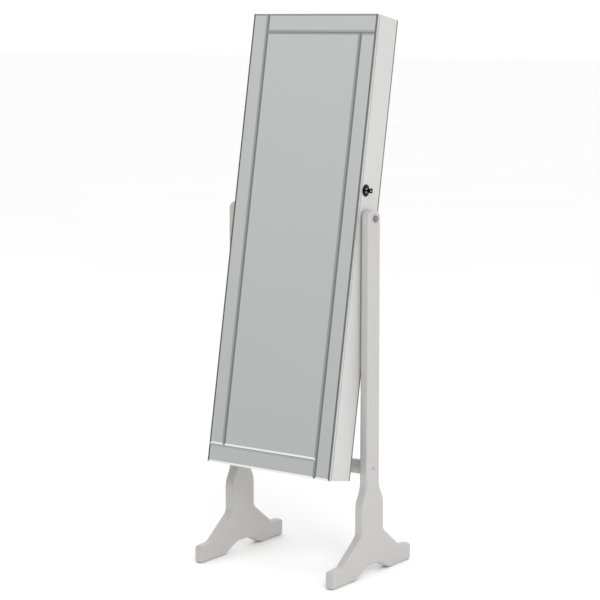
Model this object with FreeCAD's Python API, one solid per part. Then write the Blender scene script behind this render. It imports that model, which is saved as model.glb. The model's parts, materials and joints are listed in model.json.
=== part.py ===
import FreeCAD, Part
import os
from math import cos, radians, sin, tan

from FreeCAD import Vector

os.makedirs("parts", exist_ok=True)

# Leaning mirror-door jewelry armoire on a two-post stand, in millimetres and degrees.
# Frame: origin on the floor midway between the feet, +X to the right of someone
# facing the mirror, +Y towards the wall behind, +Z up. The cabinet's own frame has
# x across, d the depth behind the mirror's face and h the height above its underside.

# ---- cabinet, overall ----
CABINET_WIDTH = 410.0
CABINET_HEIGHT = 1243.0
CABINET_DEPTH = 100.0
LEAN = 10.3
PIVOT_Z = 973.0          # pivot above the floor
PIVOT_DEPTH = 42.5       # pivot behind the mirror's face
PIVOT_UP = 703.5         # pivot above the cabinet's underside

# ---- cabinet boards ----
SIDE_T = 12.0
CAP_T = 12.0             # top and bottom boards
BACK_T = 5.0
LINING_T = 2.0
SHELF_T = 9.0
EDGE_R = 1.5             # eased outer edges
SHELF_FRONT = 42.0       # depth where shelves start, behind what hangs on the door
LOWER_SHELF_UPS = (115.0, 232.0, 374.0, 486.0)
PIVOT_SHELF_DROP = 24.0  # necklace shelf's underside below the pivot
LIP_H = 32.0
LIP_T = 6.0
LIP_EDGE_R = 2.0
DIVIDER_T = 6.0
DOWEL_R = 4.0
DOWEL_IN_SIDE = 8.0
DOWEL_IN_CAP = 18.0
DOWEL_INSET = 20.0       # dowel axes from the cap's front and back edges

# ---- jewelry fittings ----
RAIL_H = 24.0
RAIL_T = 12.0
RAIL_EDGE_R = 3.0
RAIL_DROP = 44.0         # hook rail's top edge below the top board
HOOK_R = 1.6
HOOK_REACH = 16.0
HOOK_TIP = 7.0
HOOK_SET_IN = 4.0        # hook's shank inside its rail
HOOK_BELOW = 2.0         # hooks' axes below the rail's middle
HOOK_COUNT = 12
HOOK_INSET = 30.0        # outer hooks from the rail's ends
BAR_COUNT = 5            # earring bars
BAR_H = 7.0
BAR_T = 5.0
STILE_W = 12.0
STILE_T = 14.0
RACK_SETBACK = 10.0      # earring rack behind the shelves' front edges
ROLL_R = 8.0             # ring cushion rolls
ROLL_PITCH = 16.6
ROLL_COUNT = 5
ROLL_GAP = 0.3
BRACELET_R = 10.0
BRACELET_DROP = 44.0     # bracelet rod's axis below the shelf over it
SOCKET_R = 14.0
SOCKET_T = 6.0

# ---- door ----
MIRROR_T = 4.0
CORE_T = 7.0
CORE_INSET = 1.5         # wooden door inside the mirrors' outline
SEAM = 1.6               # gap between door and cabinet
STRIP_W = 50.0
STRIP_GAP = 1.0
BEVEL_W = 5.5
BEVEL_T = 0.9
DOOR_RAIL_T = 9.0
DOOR_RAIL_DROP = 70.0
DOOR_HOOK_COUNT = 8
DOOR_HOOK_REACH = 9.0
DOOR_HOOK_INSET = 25.0
DOOR_LINING_EDGE = 18.0  # lining inside the cabinet's opening
DOOR_RACK_LOW = 430.0
DOOR_RACK_HIGH = 690.0
DOOR_RACK_BARS = 7

# ---- hinges ----
HINGE_UPS = (120.0, 621.5, 1123.0)
HINGE_LENGTH = 60.0
KNUCKLE_R = 2.5
KNUCKLE_AIR = 0.2        # between the knuckles and the cabinet's side
HINGE_PIN_R = 1.2
HINGE_FIT = 0.07
PIN_HEAD_T = 1.5
PIN_HEAD_R = 2.0
LEAF_T = 0.7
LEAF_W = 9.0
KNUCKLE_GAP = 0.3

# ---- lock and catches ----
LOCK_DEPTH = 29.2
LOCK_UP = 776.0
BARREL_R = 9.0
BARREL_IN = 10.0         # barrel beyond the side board's inner face
FLANGE_R = 11.5
FLANGE_T = 1.4
PLATE_R = 16.5           # escutcheon
PLATE_T = 1.0
PLATE_EDGE_R = 0.6
PLUG_R = 5.5
PLUG_FIT = 0.05
NUT_R = 12.5
NUT_T = 5.0
TANG = 6.0
CAM_T = 2.5
CAM_W = 9.0
CAM_LENGTH = 16.0
CAM_GAP = 0.5
CAM_SCREW_R = 1.6
CAM_SCREW_IN = 4.0
CAM_SCREW_HEAD_R = 4.5
CAM_SCREW_HEAD_T = 1.6
KEY_T = 1.8
KEY_H = 6.4
KEY_FIT = 0.12
KEY_DEPTH = 18.0
KEY_NECK = 5.0
BOW_LENGTH = 14.0
BOW_NEAR_HALF = 5.5      # half-height of the bow at its neck
BOW_FAR_HALF = 8.5       # and at its end
BOW_HOLE_R = 2.0
BOW_HOLE_IN = 9.0        # hole's centre from the neck
CATCH_OFFSET = 165.0
CATCH_H = 28.0
CATCH_W = 12.0
CATCH_D = 14.0
CATCH_SETBACK = 0.4      # behind the cabinet's front edge
CATCH_PLATE_MARGIN = 2.0
BUMPER_R = 3.5
BUMPER_AIR = 0.2
STRIKE_T = 2.0
STRIKE_H = 12.0
STRIKE_DROP = 10.0       # strike's top edge below the lock's axis
STRIKE_BASE = 12.0
STRIKE_AIR = 0.5         # between the cam's plane and the strike's arm
STRIKE_TAB_AIR = 1.5     # between the turned cam and the tab
STRIKE_TAB_SHORT = 0.3
PLATE_METAL_T = 1.2
HARDWARE_SCREW_R = 1.5
HARDWARE_SCREW_IN = 5.0
CATCH_SCREW_RISE = 7.0   # screws above and below a catch plate's middle

# ---- stand ----
POST_GAP = 3.0
POST_T = 27.0
POST_DEPTH = 54.0        # at the top; the post widens evenly downwards
POST_BASE_DEPTH = 60.0   # where the flare starts
POST_HEAD = 22.0         # top of the post above the pivot
POST_HEAD_R = 20.0
STEM_DEPTH = 104.0
JOINT_Z = 156.0          # foot meets post
FLARE_LOW = 203.0
FLARE_HIGH = 245.0
FLARE_R = 60.0
FOOT_HALF = 190.0
GLIDE_T = 2.0
GLIDE_INSET = 5.0        # from the foot's faces
GLIDE_NEAR = 14.0        # from the arch
GLIDE_FAR = 12.0         # from the toe
GLIDE_R = 4.0
TOE_TOP = 48.5
TOE_R = 10.0
HEEL_R = 3.0
KNEE_Y = 140.5
KNEE_Z = 51.0
KNEE_R = 34.0
ELBOW_Z = 117.5
ELBOW_R = 22.0
ARCH_HALF = 82.0
ARCH_FOOT_R = 10.0
ARCH_SHOULDER = 27.0
ARCH_H = 26.0
ARCH_R = 48.0
BULLNOSE = 6.0
TENON_T = 11.0
TENON_W = 40.0
TENON_DEPTH = 78.0
CROSS_T = 16.0
CROSS_H = 38.0
CROSS_Z = 276.5
CROSS_R = 2.0
SCREW_DROPS = (18.0, 58.5)
SCREW_HEAD_R = 4.5
SCREW_R = 2.2
SCREW_TIP = 3.0          # screw's end from the post's inner face
RAIL_BOLT_R = 3.0
RAIL_BOLT_HEAD_R = 6.5
RAIL_BOLT_HEAD_T = 2.2
RAIL_BOLT_DOME = 1.5
RAIL_BOLT_IN = 34.0
BARREL_NUT_R = 5.0
STUD_R = 4.0
STUD_FIT = 0.06
INSERT_R = 6.0
INSERT_FLANGE_R = 9.0
INSERT_FLANGE_T = 1.6
WASHER_R = 14.0
WASHER_PLAY = 0.2
KNOB_R = 9.0
KNOB_T = 7.0
KNOB_PLAY = 0.3
KNOB_EDGE_R = 2.5
KNOB_CAP = 2.5           # plastic over the stud's end
GRIP_COUNT = 8
GRIP_R = 1.4
GRIP_OUT = 0.5           # grip grooves' axes outside the knob's rim
GRIP_SHORT = 2.8         # grooves stop this far below the cap

# ---- derived places ----
HALF_W = CABINET_WIDTH / 2
INNER_X = HALF_W - SIDE_T
DOOR_BACK = MIRROR_T + CORE_T
BODY_FRONT = DOOR_BACK + SEAM
BACK_FRONT = CABINET_DEPTH - BACK_T
LINING_FRONT = BACK_FRONT - LINING_T
DOOR_LINED = DOOR_BACK + LINING_T
CAP_UNDER = CABINET_HEIGHT - CAP_T
POST_IN = HALF_W + POST_GAP
POST_OUT = POST_IN + POST_T
HINGE_X = -HALF_W - KNUCKLE_R - KNUCKLE_AIR
HINGE_D = DOOR_BACK + SEAM / 2
BARREL_END = INNER_X - BARREL_IN
CATCH_UPS = (LOCK_UP - CATCH_OFFSET, LOCK_UP + CATCH_OFFSET)
SHELF_UPS = LOWER_SHELF_UPS + (PIVOT_UP - PIVOT_SHELF_DROP,)


def box(x0, x1, y0, y1, z0, z1):
    return Part.makeBox(x1 - x0, y1 - y0, z1 - z0, Vector(x0, y0, z0))


def rod(axis, start, length, radius):
    return Part.makeCylinder(radius, length, Vector(*start), Vector(*axis))


def along_x(x0, x1, y, z, radius):
    return rod((1, 0, 0), (min(x0, x1), y, z), abs(x1 - x0), radius)


def along_y(y0, y1, x, z, radius):
    return rod((0, 1, 0), (x, y0, z), y1 - y0, radius)


def along_z(z0, z1, x, y, radius):
    return rod((0, 0, 1), (x, y, z0), z1 - z0, radius)


def join(shapes):
    return shapes[0].multiFuse(shapes[1:]).removeSplitter()


def cut(shape, tools):
    return shape.cut(tools if isinstance(tools, Part.Shape) else Part.makeCompound(tools))


def mirrored(shape):
    return shape.mirror(Vector(0, 0, 0), Vector(1, 0, 0))


def both_sides(shapes):
    return [s for shape in shapes for s in (shape, mirrored(shape))]


def soften(shape, radius, wanted):
    """Rounds the edges whose bounding box passes the wanted test."""
    edges = [e for e in shape.Edges if wanted(e.BoundBox)]
    return shape.makeFillet(radius, edges)


def outline(corners, place):
    """Closed wire through corners (a, b, radius), each corner turned by an arc."""
    count = len(corners)
    stops = []
    for i, (a, b, radius) in enumerate(corners):
        here = Vector(a, b, 0)
        back = (Vector(*corners[i - 1][:2], 0) - here).normalize()
        ahead = (Vector(*corners[(i + 1) % count][:2], 0) - here).normalize()
        if radius == 0:
            stops.append((here, None, here))
            continue
        half = back.getAngle(ahead) / 2
        reach = radius / tan(half)
        centre = here + (back + ahead).normalize() * (radius / sin(half))
        middle = centre + (here - centre).normalize() * radius
        stops.append((here + back * reach, middle, here + ahead * reach))
    edges = []
    for i, (start, middle, end) in enumerate(stops):
        if middle is not None:
            edges.append(Part.Arc(place(start), place(middle), place(end)).toShape())
        following = stops[(i + 1) % count][0]
        if end.distanceToPoint(following) > 1e-6:
            edges.append(Part.LineSegment(place(end), place(following)).toShape())
    return Part.Wire(Part.__sortEdges__(edges))


def board(corners, x0, x1):
    """Board cut to a (y, z) outline, between two x planes."""
    face = Part.Face(outline(corners, lambda p: Vector(x0, p.x, p.y)))
    return face.extrude(Vector(x1 - x0, 0, 0))


def hexagon(x0, x1, y, z, radius):
    points = [Vector(x0, y + radius * cos(radians(60 * i)), z + radius * sin(radians(60 * i)))
              for i in range(7)]
    return Part.Face(Part.makePolygon(points)).extrude(Vector(x1 - x0, 0, 0))


def save(name, shapes, in_cabinet):
    shape = Part.makeCompound(shapes) if isinstance(shapes, list) else shapes
    if in_cabinet:
        shape = shape.copy()
        shape.translate(Vector(0, -PIVOT_DEPTH, -PIVOT_UP))
        shape.rotate(Vector(0, 0, 0), Vector(1, 0, 0), -LEAN)
        shape.translate(Vector(0, 0, PIVOT_Z))
    shape.exportStep("parts/" + name + ".step")


# ---------------------------------------------------------------- stand


def screw_places():
    return [(0.0, JOINT_Z - drop) for drop in SCREW_DROPS]


def foot_screws():
    shapes = []
    for y, z in screw_places():
        head = Part.makeCone(SCREW_R, SCREW_HEAD_R, SCREW_HEAD_R - SCREW_R,
                             Vector(POST_OUT - SCREW_HEAD_R + SCREW_R, y, z), Vector(1, 0, 0))
        shank = along_x(POST_IN + SCREW_TIP, POST_OUT - SCREW_HEAD_R + SCREW_R, y, z, SCREW_R)
        shapes.append(join([head, shank]))
    return shapes


def tenon():
    middle = (POST_IN + POST_OUT) / 2
    return box(middle - TENON_T / 2, middle + TENON_T / 2, -TENON_W / 2, TENON_W / 2,
               JOINT_Z - TENON_DEPTH, JOINT_Z)


def foot():
    half = [(STEM_DEPTH / 2, JOINT_Z, 0), (STEM_DEPTH / 2, ELBOW_Z, ELBOW_R),
            (KNEE_Y, KNEE_Z, KNEE_R), (FOOT_HALF, TOE_TOP, TOE_R), (FOOT_HALF, GLIDE_T, HEEL_R),
            (ARCH_HALF, GLIDE_T, ARCH_FOOT_R), (ARCH_SHOULDER, GLIDE_T + ARCH_H, ARCH_R)]
    corners = half + [(-y, z, r) for y, z, r in reversed(half)]
    shape = board(corners, POST_IN, POST_OUT)
    shape = soften(shape, BULLNOSE, lambda b: b.XLength < 1e-3 and b.ZMin < JOINT_Z - 1)
    return cut(shape, [tenon()] + foot_screws())


def post():
    half = [(POST_DEPTH / 2, PIVOT_Z + POST_HEAD, POST_HEAD_R),
            (POST_BASE_DEPTH / 2, FLARE_HIGH, FLARE_R), (STEM_DEPTH / 2, FLARE_LOW, FLARE_R),
            (STEM_DEPTH / 2, JOINT_Z, 0)]
    corners = half + [(-y, z, r) for y, z, r in reversed(half)]
    shape = board(corners, POST_IN, POST_OUT)
    shape = soften(shape, BULLNOSE, lambda b: b.XLength < 1e-3 and b.ZMax > JOINT_Z + 1)
    shape = join([shape, tenon()])
    return cut(shape, [along_x(POST_IN - 1, POST_OUT + 1, 0, PIVOT_Z, STUD_R + STUD_FIT),
                       rail_bolt()] + foot_screws())


def cross_rail_middle():
    return CROSS_Z + CROSS_H / 2


def rail_bolt():
    middle = cross_rail_middle()
    head = along_x(POST_OUT, POST_OUT + RAIL_BOLT_HEAD_T, 0, middle, RAIL_BOLT_HEAD_R)
    head = soften(head, RAIL_BOLT_DOME, lambda b: b.XLength < 1e-3 and b.XMin > POST_OUT + 1)
    return join([head, along_x(POST_IN - RAIL_BOLT_IN, POST_OUT, 0, middle, RAIL_BOLT_R)])


def rail_barrel_nut():
    shape = along_y(-CROSS_T / 2, CROSS_T / 2, POST_IN - RAIL_BOLT_IN + BARREL_NUT_R,
                    cross_rail_middle(), BARREL_NUT_R)
    return cut(shape, rail_bolt())


def cross_rail():
    shape = box(-POST_IN, POST_IN, -CROSS_T / 2, CROSS_T / 2, CROSS_Z, CROSS_Z + CROSS_H)
    shape = soften(shape, CROSS_R, lambda b: b.XLength > 2 * POST_IN - 1)
    nut = along_y(-CROSS_T, CROSS_T, POST_IN - RAIL_BOLT_IN + BARREL_NUT_R,
                  cross_rail_middle(), BARREL_NUT_R)
    return cut(shape, both_sides([rail_bolt(), nut]))


def foot_glides():
    shape = box(POST_IN + GLIDE_INSET, POST_OUT - GLIDE_INSET, ARCH_HALF + GLIDE_NEAR,
                FOOT_HALF - GLIDE_FAR, 0, GLIDE_T)
    shape = soften(shape, GLIDE_R, lambda b: b.ZLength > GLIDE_T / 2)
    front = shape.mirror(Vector(0, 0, 0), Vector(0, 1, 0))
    return both_sides([shape, front])


def friction_washer():
    shape = along_x(HALF_W + WASHER_PLAY, POST_IN, 0, PIVOT_Z, WASHER_R)
    return cut(shape, along_x(HALF_W, POST_IN, 0, PIVOT_Z, STUD_R + STUD_FIT))


def clamp_stud():
    return along_x(INNER_X - INSERT_FLANGE_T, POST_OUT + KNOB_PLAY + KNOB_T - KNOB_CAP, 0,
                   PIVOT_Z, STUD_R)


def clamp_knob():
    start = POST_OUT + KNOB_PLAY
    shape = along_x(start, start + KNOB_T, 0, PIVOT_Z, KNOB_R)
    shape = soften(shape, KNOB_EDGE_R, lambda b: b.XLength < 1e-3 and b.XMin > start + 1)
    turns = [radians(360 * i / GRIP_COUNT) for i in range(GRIP_COUNT)]
    reach = KNOB_R + GRIP_OUT
    grips = [along_x(start - 1, start + KNOB_T - GRIP_SHORT, reach * cos(a),
                     PIVOT_Z + reach * sin(a), GRIP_R) for a in turns]
    return cut(shape, grips + [clamp_stud()])


def build_stand():
    pairs = {"foot": foot(), "post": post()}
    for name, shape in pairs.items():
        save("right_" + name, shape, False)
        save("left_" + name, mirrored(shape), False)
    for name, shape in {"clamp_stud": clamp_stud(), "clamp_knob": clamp_knob()}.items():
        save("right_" + name, shape, False)
        save("left_" + name, mirrored(shape), False)
    save("cross_rail", cross_rail(), False)
    save("cross_rail_bolts", both_sides([rail_bolt()]), False)
    save("cross_rail_barrel_nuts", both_sides([rail_barrel_nut()]), False)
    save("foot_screws", both_sides(foot_screws()), False)
    save("foot_glides", foot_glides(), False)
    save("friction_washers", both_sides([friction_washer()]), False)


# ---------------------------------------------------------------- cabinet


def pivot_insert():
    shape = join([along_x(INNER_X, HALF_W, PIVOT_DEPTH, PIVOT_UP, INSERT_R),
                  along_x(INNER_X - INSERT_FLANGE_T, INNER_X, PIVOT_DEPTH, PIVOT_UP,
                          INSERT_FLANGE_R)])
    return cut(shape, along_x(INNER_X - 5, HALF_W + 1, PIVOT_DEPTH, PIVOT_UP, STUD_R + STUD_FIT))


def carcass_dowels():
    shapes = []
    for h in (CAP_T / 2, CABINET_HEIGHT - CAP_T / 2):
        for d in (BODY_FRONT + DOWEL_INSET, BACK_FRONT - DOWEL_INSET):
            shapes.append(along_x(INNER_X - DOWEL_IN_CAP, INNER_X + DOWEL_IN_SIDE, d, h, DOWEL_R))
    return both_sides(shapes)


def side_board():
    shape = box(INNER_X, HALF_W, BODY_FRONT, BACK_FRONT, 0, CABINET_HEIGHT)
    shape = soften(shape, EDGE_R, lambda b: b.ZLength > CABINET_HEIGHT - 1 and b.XMin > INNER_X + 1)
    bore = along_x(INNER_X - 1, HALF_W + 1, PIVOT_DEPTH, PIVOT_UP, INSERT_R)
    return cut(shape, [bore] + carcass_dowels())


def right_side_board():
    bore = along_x(INNER_X - 1, HALF_W + 1, LOCK_DEPTH, LOCK_UP, BARREL_R)
    return cut(side_board(), bore)


def cap_board(h):
    shape = box(-INNER_X, INNER_X, BODY_FRONT, BACK_FRONT, h, h + CAP_T)
    return cut(shape, carcass_dowels())


def back_board():
    shape = box(-HALF_W, HALF_W, BACK_FRONT, CABINET_DEPTH, 0, CABINET_HEIGHT)
    return soften(shape, EDGE_R, lambda b: b.YMin > CABINET_DEPTH - 1e-3)


def shelf(h):
    return box(-INNER_X, INNER_X, SHELF_FRONT, LINING_FRONT, h, h + SHELF_T)


def shelf_lips():
    floors = (CAP_T,) + tuple(h + SHELF_T for h in SHELF_UPS[:2])
    lips = [box(-INNER_X, INNER_X, SHELF_FRONT, SHELF_FRONT + LIP_T, h, h + LIP_H) for h in floors]
    return [soften(lip, LIP_EDGE_R, lambda b, top=lip.BoundBox.ZMax:
                   b.XLength > INNER_X and b.ZMin > top - 1) for lip in lips]


def bin_dividers():
    third = INNER_X / 3
    rooms = ((CAP_T, SHELF_UPS[0]), (SHELF_UPS[0] + SHELF_T, SHELF_UPS[1]))
    return [box(x - DIVIDER_T / 2, x + DIVIDER_T / 2, SHELF_FRONT + LIP_T, LINING_FRONT, low, high)
            for low, high in rooms for x in (-third, third)]


def hooks(count, span, depth, h, reach):
    """Row of wire hooks with turned-up tips."""
    shapes = []
    for i in range(count):
        x = -span / 2 + span * i / (count - 1)
        arm = along_y(depth - HOOK_SET_IN, depth + reach, x, h, HOOK_R)
        tip = along_z(h, h + HOOK_TIP, x, depth + reach, HOOK_R)
        ball = Part.makeSphere(HOOK_R, Vector(x, depth + reach, h))
        shapes.append(join([arm, tip, ball]))
    return shapes


def facing_front(shapes):
    """Turns hooks that reach backwards round to face the front of the cabinet."""
    return [s.mirror(Vector(0, 0, 0), Vector(0, 1, 0)) for s in shapes]


def necklace_hooks():
    front = LINING_FRONT - RAIL_T
    h = CAP_UNDER - RAIL_DROP - RAIL_H / 2 - HOOK_BELOW
    span = 2 * (INNER_X - HOOK_INSET)
    return facing_front(hooks(HOOK_COUNT, span, -front, h, HOOK_REACH))


def hook_rail():
    top = CAP_UNDER - RAIL_DROP
    shape = box(-INNER_X, INNER_X, LINING_FRONT - RAIL_T, LINING_FRONT, top - RAIL_H, top)
    shape = soften(shape, RAIL_EDGE_R,
                   lambda b: b.XLength > INNER_X and b.YMax < LINING_FRONT - 1)
    return cut(shape, necklace_hooks())


def rack(x0, x1, d0, low, high, bars, thickness):
    """Two stiles and a ladder of slim bars for hooking earrings over."""
    stiles = [box(x, x + STILE_W, d0, d0 + thickness, low, high) for x in (x0, x1 - STILE_W)]
    middle = d0 + thickness / 2
    step = (high - low) / bars
    rungs = [box(x0 + STILE_W, x1 - STILE_W, middle - BAR_T / 2, middle + BAR_T / 2,
                 low + step * (i + 0.5) - BAR_H / 2, low + step * (i + 0.5) + BAR_H / 2)
             for i in range(bars)]
    return join(stiles + rungs)


def earring_rack():
    low = SHELF_UPS[3] + SHELF_T
    return rack(-INNER_X, INNER_X, SHELF_FRONT + RACK_SETBACK, low, SHELF_UPS[4], BAR_COUNT,
                STILE_T)


def ring_rolls():
    """Soft rolls that pinch rings between them, one above the other."""
    base = SHELF_UPS[2] + SHELF_T + ROLL_GAP + ROLL_R
    d = LINING_FRONT - ROLL_R - ROLL_GAP
    return [along_x(-INNER_X + ROLL_GAP, INNER_X - ROLL_GAP, d, base + i * ROLL_PITCH, ROLL_R)
            for i in range(ROLL_COUNT)]


def bracelet_place():
    return (SHELF_FRONT + LINING_FRONT) / 2, SHELF_UPS[2] - BRACELET_DROP


def rod_socket():
    d, h = bracelet_place()
    ring = along_x(INNER_X - SOCKET_T, INNER_X, d, h, SOCKET_R)
    return cut(ring, bracelet_rod())


def bracelet_rod():
    d, h = bracelet_place()
    return along_x(-INNER_X + 1, INNER_X - 1, d, h, BRACELET_R)


def build_cabinet():
    save("cabinet_right_side", right_side_board(), True)
    save("cabinet_left_side", mirrored(side_board()), True)
    save("cabinet_top", cap_board(CAP_UNDER), True)
    save("cabinet_bottom", cap_board(0), True)
    save("cabinet_back", back_board(), True)
    save("cabinet_dowels", carcass_dowels(), True)
    save("back_lining", box(-INNER_X, INNER_X, LINING_FRONT, BACK_FRONT, CAP_T, CAP_UNDER), True)
    names = ("lower_bin_shelf", "upper_bin_shelf", "ring_shelf", "earring_shelf", "necklace_shelf")
    for name, h in zip(names, SHELF_UPS):
        save(name, shelf(h), True)
    save("shelf_lips", shelf_lips(), True)
    save("bin_dividers", bin_dividers(), True)
    save("necklace_hook_rail", hook_rail(), True)
    save("necklace_hooks", necklace_hooks(), True)
    save("earring_rack", earring_rack(), True)
    save("ring_rolls", ring_rolls(), True)
    save("bracelet_rod", bracelet_rod(), True)
    save("bracelet_rod_sockets", both_sides([rod_socket()]), True)
    save("pivot_inserts", both_sides([pivot_insert()]), True)


# ---------------------------------------------------------------- hinges


def knuckle(low, high, bore):
    ring = along_z(low, high, HINGE_X, HINGE_D, KNUCKLE_R)
    return ring, along_z(low - 1, high + 1, HINGE_X, HINGE_D, bore)


def hinge_leaf(h, on_door):
    """Leaf in the seam, with knuckles: one in the middle on the door, two on the cabinet."""
    third = HINGE_LENGTH / 3
    low = h - HINGE_LENGTH / 2
    spans = [(low + third, low + 2 * third)] if on_door else [(low, low + third),
                                                              (low + 2 * third, low + 3 * third)]
    d0 = DOOR_BACK if on_door else BODY_FRONT - LEAF_T
    bore = HINGE_PIN_R + (HINGE_FIT if on_door else 0)
    start = HINGE_X + KNUCKLE_R + KNUCKLE_GAP
    pieces = [box(start, start + LEAF_W, d0, d0 + LEAF_T, low, low + HINGE_LENGTH)]
    bores = []
    for a, b in spans:
        a, b = a + KNUCKLE_GAP / 2, b - KNUCKLE_GAP / 2
        ring, hole = knuckle(a, b, bore)
        pieces += [ring, box(HINGE_X, start, d0, d0 + LEAF_T, a, b)]
        bores.append(hole)
    return cut(join(pieces), bores)


def hinge_pin(h):
    half = HINGE_LENGTH / 2
    head = along_z(h + half, h + half + PIN_HEAD_T, HINGE_X, HINGE_D, PIN_HEAD_R)
    return join([along_z(h - half, h + half, HINGE_X, HINGE_D, HINGE_PIN_R), head])


def build_hinges():
    save("hinge_cabinet_leaves", [hinge_leaf(h, False) for h in HINGE_UPS], True)
    save("hinge_door_leaves", [hinge_leaf(h, True) for h in HINGE_UPS], True)
    save("hinge_pins", [hinge_pin(h) for h in HINGE_UPS], True)


# ---------------------------------------------------------------- lock


def at_lock(x0, x1, radius):
    return along_x(x0, x1, LOCK_DEPTH, LOCK_UP, radius)


def lock_face():
    return HALF_W + PLATE_T + FLANGE_T


def lock_barrel():
    flange = at_lock(HALF_W + PLATE_T, lock_face(), FLANGE_R)
    shape = join([at_lock(BARREL_END, HALF_W + PLATE_T, BARREL_R), flange])
    return cut(shape, at_lock(BARREL_END - 1, lock_face() + 1, PLUG_R + PLUG_FIT))


def lock_escutcheon():
    shape = cut(at_lock(HALF_W, HALF_W + PLATE_T, PLATE_R), at_lock(HALF_W, lock_face(), BARREL_R))
    return soften(shape, PLATE_EDGE_R,
                  lambda b: b.XMin > HALF_W + PLATE_T / 2 and b.ZLength > 2 * FLANGE_R)


def lock_nut():
    shape = hexagon(INNER_X - NUT_T, INNER_X, LOCK_DEPTH, LOCK_UP, NUT_R)
    return cut(shape, at_lock(INNER_X - NUT_T - 1, INNER_X, BARREL_R))


def key_blade(fit):
    half_t, half_h = KEY_T / 2 + fit, KEY_H / 2 + fit
    return box(lock_face() - KEY_DEPTH - fit, lock_face() + KEY_NECK, LOCK_DEPTH - half_t,
               LOCK_DEPTH + half_t, LOCK_UP - half_h, LOCK_UP + half_h)


def cam_plane():
    return BARREL_END - CAM_GAP - CAM_T


def lock_tang():
    return box(cam_plane(), BARREL_END, LOCK_DEPTH - TANG / 2, LOCK_DEPTH + TANG / 2,
               LOCK_UP - TANG / 2, LOCK_UP + TANG / 2)


def cam_screw():
    head = at_lock(cam_plane() - CAM_SCREW_HEAD_T, cam_plane(), CAM_SCREW_HEAD_R)
    head = soften(head, CAM_SCREW_HEAD_T / 2, lambda b: b.XMax < cam_plane() - 1)
    return join([head, at_lock(cam_plane(), cam_plane() + CAM_SCREW_IN, CAM_SCREW_R)])


def lock_plug():
    shape = join([at_lock(BARREL_END, lock_face(), PLUG_R), lock_tang()])
    return cut(shape, [key_blade(KEY_FIT), cam_screw()])


def lock_cam():
    """Cam that points to the door when it is free and down when it holds the strike."""
    hub = at_lock(cam_plane(), cam_plane() + CAM_T, TANG)
    arm = box(cam_plane(), cam_plane() + CAM_T, LOCK_DEPTH - CAM_LENGTH, LOCK_DEPTH,
              LOCK_UP - CAM_W / 2, LOCK_UP + CAM_W / 2)
    arm = soften(arm, 2.0, lambda b: b.XLength > CAM_T / 2 and b.YMax < LOCK_DEPTH - 1)
    return cut(join([hub, arm]), lock_tang())


def key():
    start = lock_face() + KEY_NECK
    end = start + BOW_LENGTH
    half = [(start, KEY_H / 2, 0), (start, BOW_NEAR_HALF, 1.5), (end, BOW_FAR_HALF, 4)]
    corners = half + [(x, -h, r) for x, h, r in reversed(half)]
    wire = outline(corners, lambda p: Vector(p.x, LOCK_DEPTH - KEY_T / 2, LOCK_UP + p.y))
    bow = Part.Face(wire).extrude(Vector(0, KEY_T, 0))
    hole = along_y(LOCK_DEPTH - KEY_T, LOCK_DEPTH + KEY_T, start + BOW_HOLE_IN, LOCK_UP, BOW_HOLE_R)
    return cut(join([key_blade(0), bow]), hole)


def strike_up():
    return LOCK_UP - STRIKE_DROP


def lock_strike():
    """Hook on the door: foot, arm past the cam, and the tab that the cam stands in front of."""
    high = strike_up()
    low = high - STRIKE_H
    arm_x = cam_plane() - STRIKE_T - STRIKE_AIR
    tab_d = LOCK_DEPTH + CAM_W / 2 + STRIKE_TAB_AIR
    tab_x = BARREL_END - STRIKE_TAB_SHORT
    arm = box(arm_x - STRIKE_T, arm_x, DOOR_BACK, tab_d + STRIKE_T, low, high)
    base = box(arm_x - STRIKE_T, arm_x + STRIKE_BASE, DOOR_BACK, DOOR_BACK + PLATE_METAL_T,
               low, high)
    tab = box(arm_x, tab_x, tab_d, tab_d + STRIKE_T, low, high)
    return cut(join([arm, base, tab]), hardware_screws())


def catch_housings():
    front = BODY_FRONT + CATCH_SETBACK
    return [soften(box(INNER_X - CATCH_W, INNER_X, front, front + CATCH_D,
                       h - CATCH_H / 2, h + CATCH_H / 2), EDGE_R,
                   lambda b: b.XMax < INNER_X - 1) for h in CATCH_UPS]


def catch_plates():
    half = CATCH_H / 2 - CATCH_PLATE_MARGIN
    plates = [box(INNER_X - CATCH_W + 1, INNER_X - 1, DOOR_BACK, DOOR_BACK + PLATE_METAL_T,
                  h - half, h + half) for h in CATCH_UPS]
    return [cut(plate, hardware_screws()) for plate in plates]


def hardware_screws():
    """Small flush screws that hold the strike and the catch plates on the door."""
    places = [(INNER_X - CATCH_W / 2, h + rise) for h in CATCH_UPS
              for rise in (-CATCH_SCREW_RISE, CATCH_SCREW_RISE)]
    places += [(cam_plane() + STRIKE_BASE / 2, strike_up() - STRIKE_H / 2)]
    return [along_y(DOOR_BACK - HARDWARE_SCREW_IN, DOOR_BACK + PLATE_METAL_T, x, h,
                    HARDWARE_SCREW_R) for x, h in places]


def door_bumpers():
    x = (INNER_X + HALF_W) / 2
    return [along_y(DOOR_BACK + BUMPER_AIR, BODY_FRONT, x, h, BUMPER_R) for h in CATCH_UPS]


def build_lock():
    save("lock_barrel", lock_barrel(), True)
    save("lock_escutcheon", lock_escutcheon(), True)
    save("lock_nut", lock_nut(), True)
    save("lock_plug", lock_plug(), True)
    save("lock_cam", lock_cam(), True)
    save("lock_cam_screw", cam_screw(), True)
    save("key", key(), True)
    save("lock_strike", lock_strike(), True)
    save("magnetic_catches", catch_housings(), True)
    save("catch_plates", catch_plates(), True)
    save("door_hardware_screws", hardware_screws(), True)
    save("door_bumpers", door_bumpers(), True)


# ---------------------------------------------------------------- door


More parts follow.
